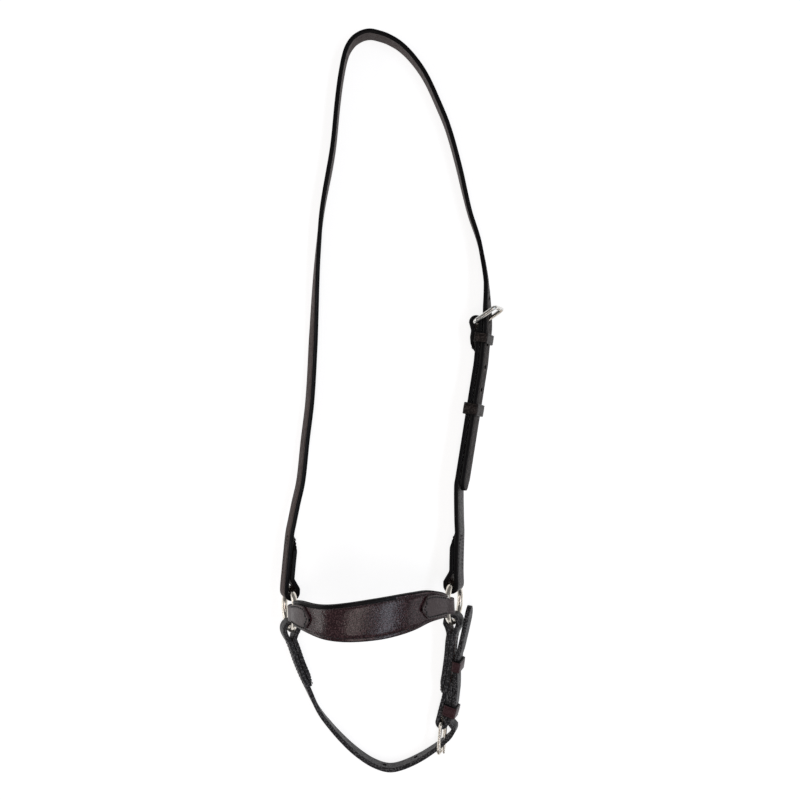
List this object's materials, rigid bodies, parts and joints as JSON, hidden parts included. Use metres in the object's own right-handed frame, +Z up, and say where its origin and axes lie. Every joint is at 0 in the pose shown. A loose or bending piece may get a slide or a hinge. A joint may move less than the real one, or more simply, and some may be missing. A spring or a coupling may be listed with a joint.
{
  "type": "drop noseband",
  "caption": "Leather drop noseband for a horse's bridle: buckled headpiece, lined, arched nosepiece on metal rings, and a buckled chin strap.",
  "frame": {"origin": "centre of the bounding box's base, on the table the noseband stands on", "axes": "+Z up from the table, +Y along the headpiece from the rings towards the poll bend, +X towards the side with both buckles"},
  "size_m": [0.1914, 0.6357, 0.0744],
  "materials": {
    "bridle_leather": "satin, black painted edges",
    "keeper_leather": "satin",
    "nosepiece_leather": "satin, soft sheen",
    "tab_leather": "satin",
    "nickel_plate": "bright nickel plate"
  },
  "bodies": {
    "headpiece": {"headstrap": "bridle_leather", "cheek_strap": "bridle_leather", "head_fixed_keeper": "keeper_leather"},
    "left_ring": {"left_ring": "nickel_plate"},
    "right_ring": {"right_ring": "nickel_plate"},
    "nosepiece": {"nosepiece_outer": "nosepiece_leather", "nosepiece_lining": "nosepiece_leather", "left_nose_tab": "tab_leather", "right_nose_tab": "tab_leather"},
    "chin": {"chin_strap": "bridle_leather", "chin_buckle_piece": "bridle_leather", "chin_upper_keeper": "keeper_leather", "chin_lower_keeper": "keeper_leather"},
    "head_buckle": {"head_buckle_frame": "nickel_plate"},
    "head_tongue": {"head_tongue": "nickel_plate"},
    "head_runner": {"head_runner": "keeper_leather"},
    "chin_buckle": {"chin_buckle_frame": "nickel_plate"},
    "chin_tongue": {"chin_tongue": "nickel_plate"}
  },
  "joints": [
    {"name": "left_ring_spin", "type": "hinge", "parent": "headpiece", "child": "left_ring", "pos_m": [-0.0864, -0.17575, 0.01815], "axis": [0.9205, 0, -0.3907], "continuous": true},
    {"name": "right_ring_spin", "type": "hinge", "parent": "headpiece", "child": "right_ring", "pos_m": [0.0525, -0.16975, 0.01815], "axis": [0.9205, 0, 0.3907], "continuous": true},
    {"name": "nosepiece_tip", "type": "hinge", "parent": "headpiece", "child": "nosepiece", "pos_m": [-0.01695, -0.17275, 0.01815], "axis": [0.9991, 0.0432, 0], "range_deg": [-8, 10]},
    {"name": "chin_lift", "type": "hinge", "parent": "headpiece", "child": "chin", "pos_m": [-0.01695, -0.17275, 0.01815], "axis": [0.9991, 0.0432, 0], "range_deg": [-8, 0]},
    {"name": "head_buckle_turn", "type": "hinge", "parent": "headpiece", "child": "head_buckle", "pos_m": [0.07401, 0.06725, 0.01193], "axis": [-0.3907, 0, 0.9205], "range_deg": [-4, 7]},
    {"name": "head_tongue_turn", "type": "hinge", "parent": "head_buckle", "child": "head_tongue", "pos_m": [0.07401, 0.06725, 0.01193], "axis": [-0.3907, 0, 0.9205], "range_deg": [-4, 0]},
    {"name": "head_runner_slide", "type": "slide", "parent": "headpiece", "child": "head_runner", "axis": [-0.1596, -0.9866, 0.033], "range_m": [-0.04, 0.06]},
    {"name": "chin_buckle_turn", "type": "hinge", "parent": "chin", "child": "chin_buckle", "pos_m": [0.0441, -0.27375, 0.01027], "axis": [0.3073, 0, -0.9516], "range_deg": [-3, 0]},
    {"name": "chin_tongue_turn", "type": "hinge", "parent": "chin_buckle", "child": "chin_tongue", "pos_m": [0.0441, -0.27375, 0.01027], "axis": [0.3073, 0, -0.9516], "range_deg": [-3, 0]}
  ]
}
